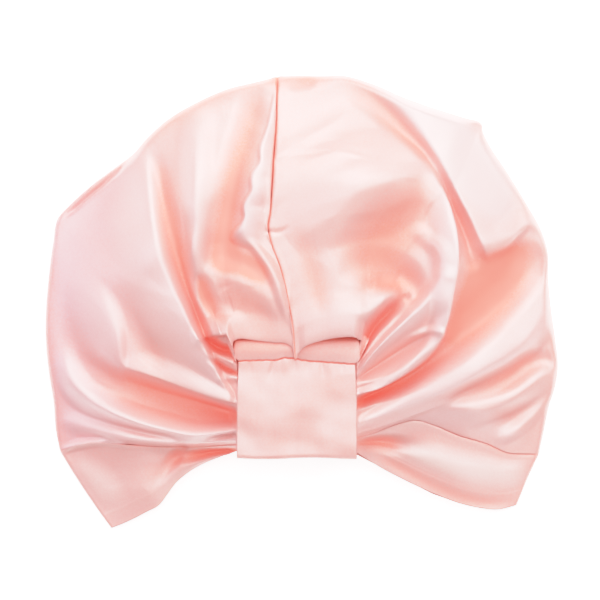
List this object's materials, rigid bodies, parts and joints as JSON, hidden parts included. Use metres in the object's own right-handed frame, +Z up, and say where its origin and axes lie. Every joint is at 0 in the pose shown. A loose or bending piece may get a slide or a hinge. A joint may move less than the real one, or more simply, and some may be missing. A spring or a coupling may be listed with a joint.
{
  "type": "satin hair turban",
  "caption": "Soft satin turban cap, gathered at the front through a folded loop band, laid flat on its back.",
  "frame": {"origin": "on the table under the middle of the turban's outline", "axes": "+X across the turban, to the right as seen from above; +Y from the hem to the crown; +Z up, away from the back panel"},
  "size_m": [0.2959, 0.2616, 0.0451],
  "materials": {
    "crown_satin": "pale pink satin",
    "brim_satin": "pale pink satin",
    "band_satin": "pale pink satin, folded"
  },
  "bodies": {
    "root": {"crown_left": "crown_satin", "crown_right": "crown_satin", "brim_left": "brim_satin", "brim_right": "brim_satin", "knot_band": "band_satin"}
  },
  "joints": []
}
